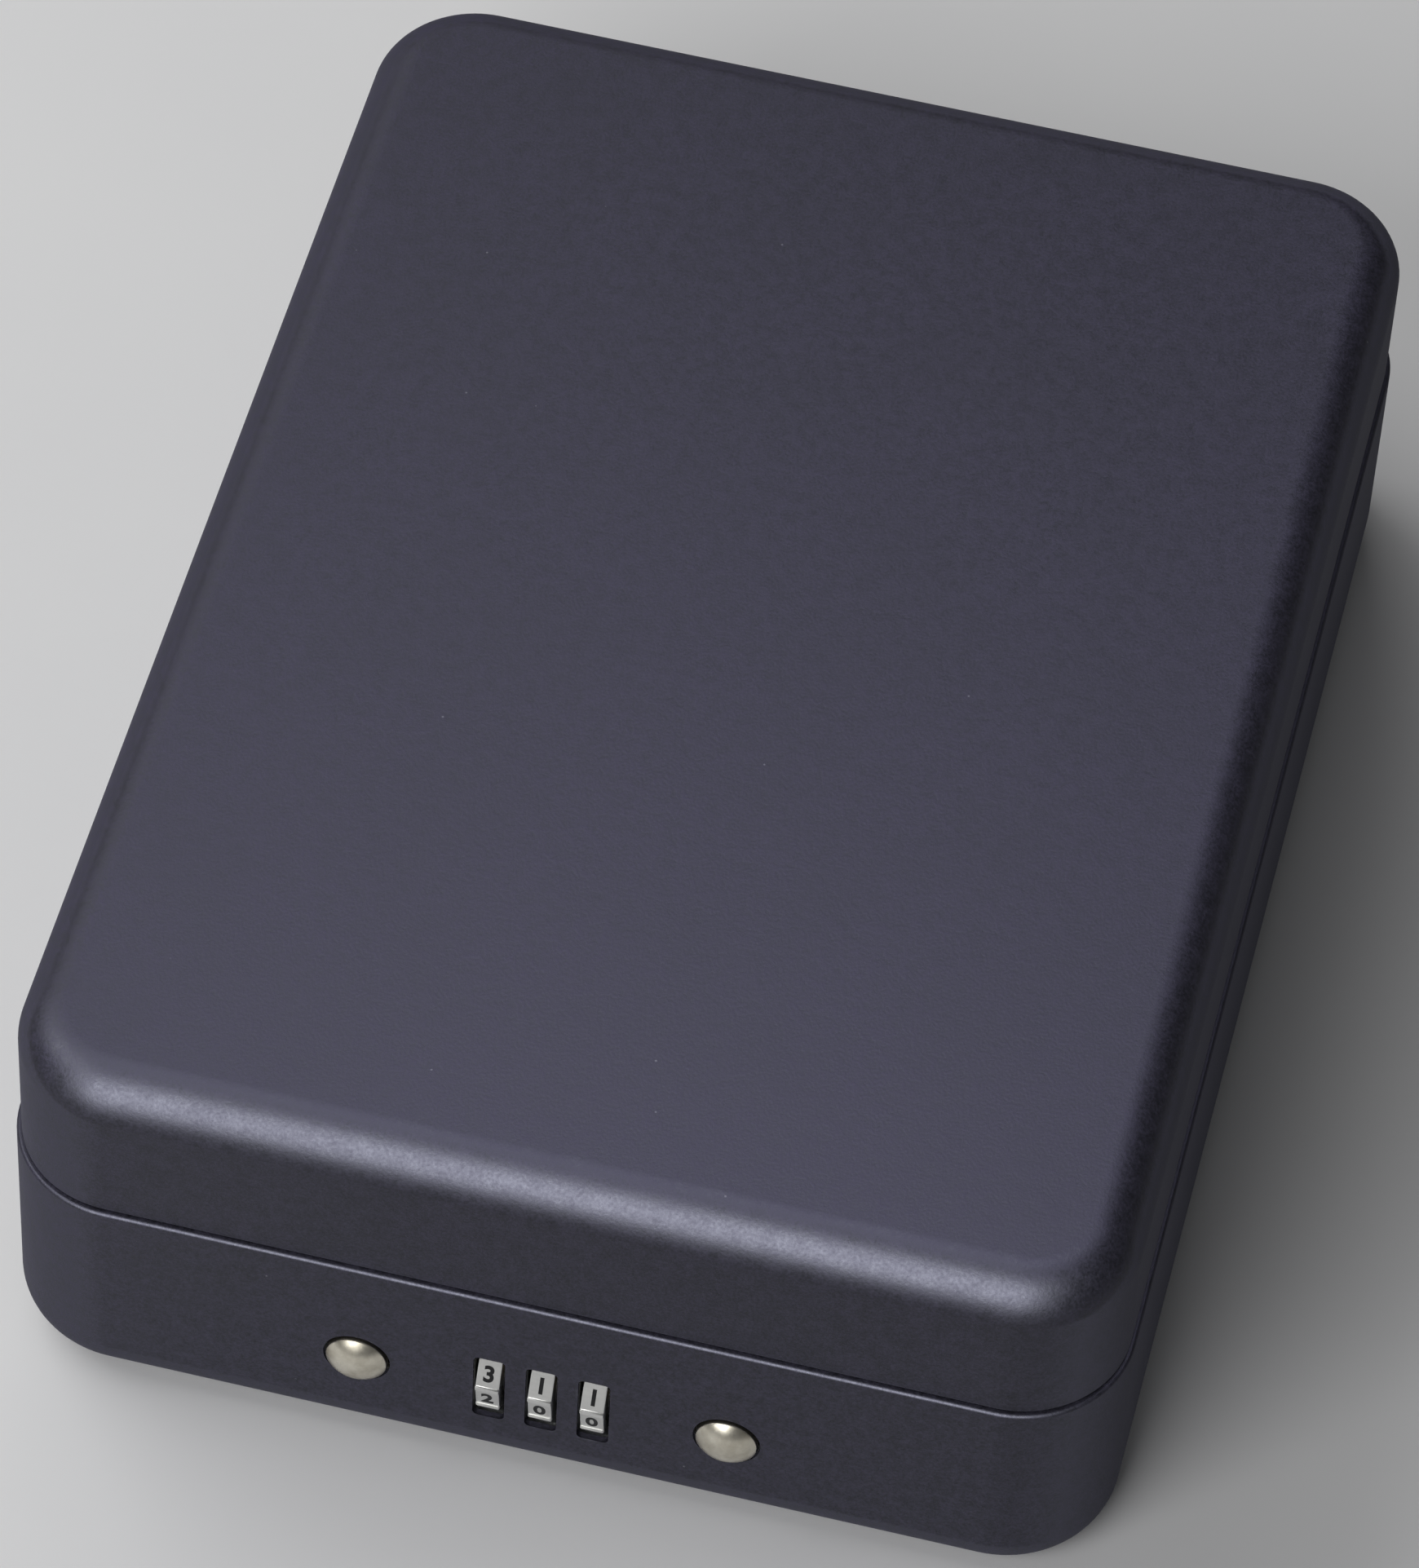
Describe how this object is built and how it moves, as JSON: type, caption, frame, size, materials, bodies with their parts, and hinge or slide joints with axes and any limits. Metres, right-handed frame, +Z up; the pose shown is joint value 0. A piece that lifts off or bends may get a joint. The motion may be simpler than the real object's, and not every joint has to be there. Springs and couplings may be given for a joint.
{
  "type": "cash box",
  "caption": "Low steel cash box with rounded corners, a rear-hinged lid, and a dial code lock with domed push-buttons in the front wall.",
  "frame": {"origin": "centre of the bottom face's bounding box, on the surface that the box stands on", "axes": "+Z up, -Y towards the front wall with the dials, +Y towards the hinge, +X to the right as seen from the front"},
  "size_m": [0.178, 0.2476, 0.0736],
  "materials": {
    "coating": "fine-grained blue-grey powder coat, satin",
    "liner_coating": "the same powder coat, thinner, on the rim liner",
    "foam": "dark open-cell foam with a soft skin",
    "hinge_steel": "powder-coated hinge leaf, rubbed at the knuckles",
    "pin_steel": "bright drawn steel",
    "plated_steel": "bright zinc plate",
    "fastener_steel": "zinc-plated fasteners",
    "spring_steel": "oiled spring steel",
    "satin_nickel": "satin nickel",
    "dial_metal": "satin plated zinc with black digits",
    "sleeve_brass": "machined brass"
  },
  "bodies": {
    "base": {"base_shell": "coating", "rim_liner": "liner_coating", "base_foam_liner": "foam", "hinge_leaf_base": "hinge_steel", "hinge_pin": "pin_steel", "lock_case": "plated_steel", "lock_cover_plate": "plated_steel", "cover_screws": "fastener_steel", "case_studs": "fastener_steel", "case_nuts": "fastener_steel", "guide_bracket_left": "plated_steel", "guide_bracket_right": "plated_steel", "dial_frame": "plated_steel", "dial_detent_spring": "spring_steel"},
    "lid": {"lid_shell": "coating", "lid_foam_liner": "foam", "hinge_leaf_lid": "hinge_steel", "striker_left": "plated_steel", "striker_right": "plated_steel"},
    "release": {"release_yoke": "plated_steel", "button_left": "satin_nickel", "button_right": "satin_nickel", "button_clips": "spring_steel", "button_spring_left": "spring_steel", "button_spring_right": "spring_steel"},
    "latch": {"latch_bar": "plated_steel", "latch_spring_left": "spring_steel", "latch_spring_right": "spring_steel"},
    "reset": {"dial_shaft": "pin_steel", "shaft_clips": "spring_steel", "reset_lever": "plated_steel"},
    "dial_left": {"dial_wheel_left": "dial_metal"},
    "dial_middle": {"dial_wheel_middle": "dial_metal"},
    "dial_right": {"dial_wheel_right": "dial_metal"},
    "sleeve_left": {"code_sleeve_left": "sleeve_brass"},
    "sleeve_middle": {"code_sleeve_middle": "sleeve_brass"},
    "sleeve_right": {"code_sleeve_right": "sleeve_brass"}
  },
  "joints": [
    {"name": "lid_hinge", "type": "hinge", "parent": "base", "child": "lid", "pos_m": [0, 0.12165, 0.0432], "axis": [-1, 0, 0], "range_deg": [0, 100]},
    {"name": "release_press", "type": "slide", "parent": "base", "child": "release", "axis": [0, 1, 0], "range_m": [0, 0.0038], "stiffness_N_per_m": 300, "springref_m": -0.003, "deforming": ["button_spring_left", "button_spring_right"]},
    {"name": "latch_slide", "type": "slide", "parent": "base", "child": "latch", "axis": [0, 1, 0], "range_m": [-0.004, 0], "deforming": ["latch_spring_left", "latch_spring_right"]},
    {"name": "reset_shift", "type": "slide", "parent": "base", "child": "reset", "axis": [1, 0, 0], "range_m": [0, 0.0022]},
    {"name": "dial_left_spin", "type": "hinge", "parent": "base", "child": "dial_left", "pos_m": [0, -0.11325, 0.02], "axis": [1, 0, 0], "continuous": true},
    {"name": "dial_middle_spin", "type": "hinge", "parent": "base", "child": "dial_middle", "pos_m": [0, -0.11325, 0.02], "axis": [1, 0, 0], "continuous": true},
    {"name": "dial_right_spin", "type": "hinge", "parent": "base", "child": "dial_right", "pos_m": [0, -0.11325, 0.02], "axis": [1, 0, 0], "continuous": true},
    {"name": "sleeve_left_spin", "type": "hinge", "parent": "reset", "child": "sleeve_left", "pos_m": [0, -0.11325, 0.02], "axis": [1, 0, 0], "continuous": true},
    {"name": "sleeve_middle_spin", "type": "hinge", "parent": "reset", "child": "sleeve_middle", "pos_m": [0, -0.11325, 0.02], "axis": [1, 0, 0], "continuous": true},
    {"name": "sleeve_right_spin", "type": "hinge", "parent": "reset", "child": "sleeve_right", "pos_m": [0, -0.11325, 0.02], "axis": [1, 0, 0], "continuous": true}
  ],
  "couplings": [
    {"joint": "sleeve_left_spin", "follows": "dial_left_spin", "ratio": 1},
    {"joint": "sleeve_middle_spin", "follows": "dial_middle_spin", "ratio": 1},
    {"joint": "sleeve_right_spin", "follows": "dial_right_spin", "ratio": 1}
  ]
}
